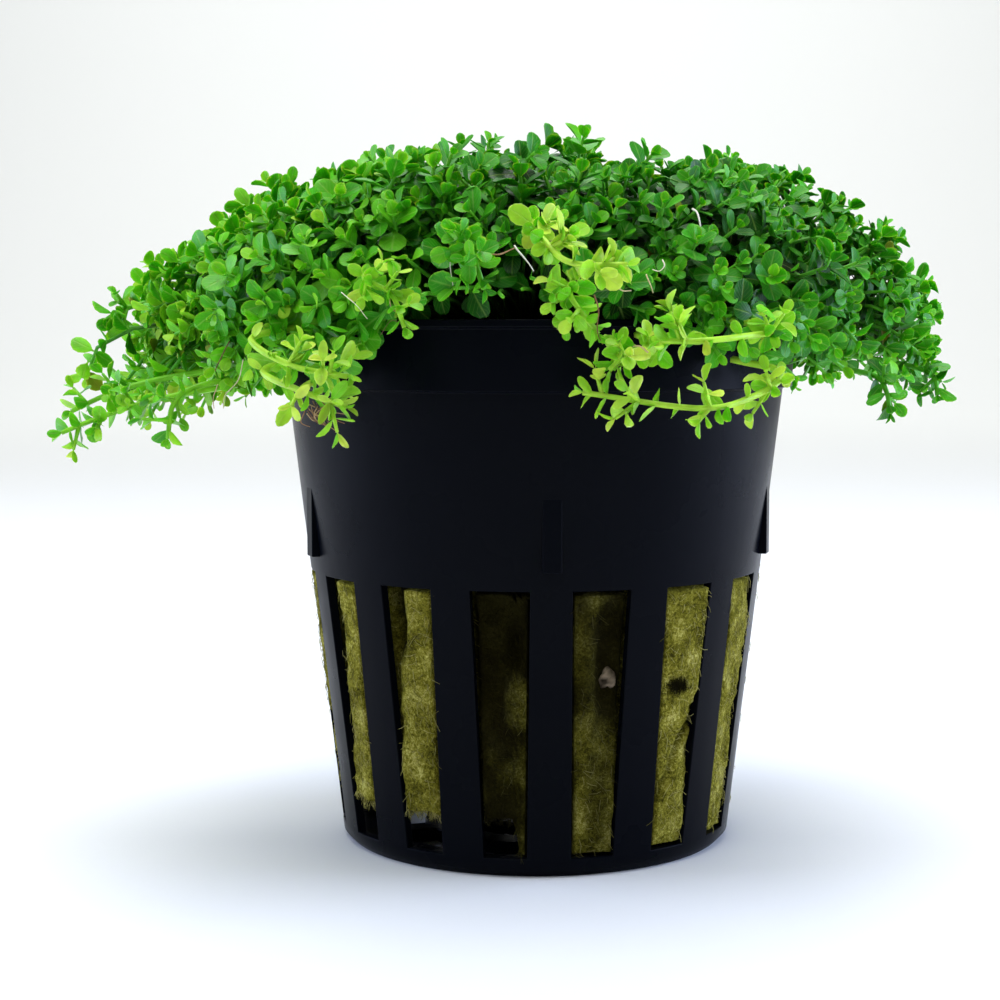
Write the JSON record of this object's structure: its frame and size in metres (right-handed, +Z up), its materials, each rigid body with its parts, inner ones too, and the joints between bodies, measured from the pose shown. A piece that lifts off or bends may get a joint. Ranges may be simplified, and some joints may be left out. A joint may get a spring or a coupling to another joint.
{
  "type": "potted aquarium plant",
  "caption": "Low, small-leaved aquarium carpet plant that spreads and trails over the rim of a slotted black net pot filled with rock wool.",
  "frame": {"origin": "on the surface that the pot stands on, under the middle of the pot's floor", "axes": "+Z up along the pot's axis, -Y towards the viewer of the picture, +X to the right in it"},
  "size_m": [0.0942, 0.0834, 0.0766],
  "materials": {
    "black_polypropylene": "satin",
    "rock_wool": "fibrous, stained by algae",
    "leaf": "soft sheen",
    "young_shoot": "soft sheen"
  },
  "bodies": {
    "root": {"net_pot": "black_polypropylene", "rock_wool_plug": "rock_wool", "clump_crown": "leaf", "clump_front": "leaf", "clump_front_right": "leaf", "clump_right": "leaf", "clump_back_right": "leaf", "clump_back": "leaf", "clump_back_left": "leaf", "clump_left": "leaf", "clump_front_left": "leaf", "runner_left_long": "young_shoot", "runner_left_mid": "young_shoot", "runner_left_hanging": "young_shoot", "runner_left_upper": "young_shoot", "runner_front_left": "young_shoot", "runner_front_left_low": "young_shoot", "runner_front_drop": "young_shoot", "runner_front_middle": "young_shoot", "runner_front_arch": "young_shoot", "runner_front_hanging": "young_shoot", "runner_front_right_high": "young_shoot", "runner_front_right_mid": "young_shoot", "runner_front_right_low": "young_shoot", "runner_right_hanging": "young_shoot", "runner_right_tip": "young_shoot"}
  },
  "joints": []
}
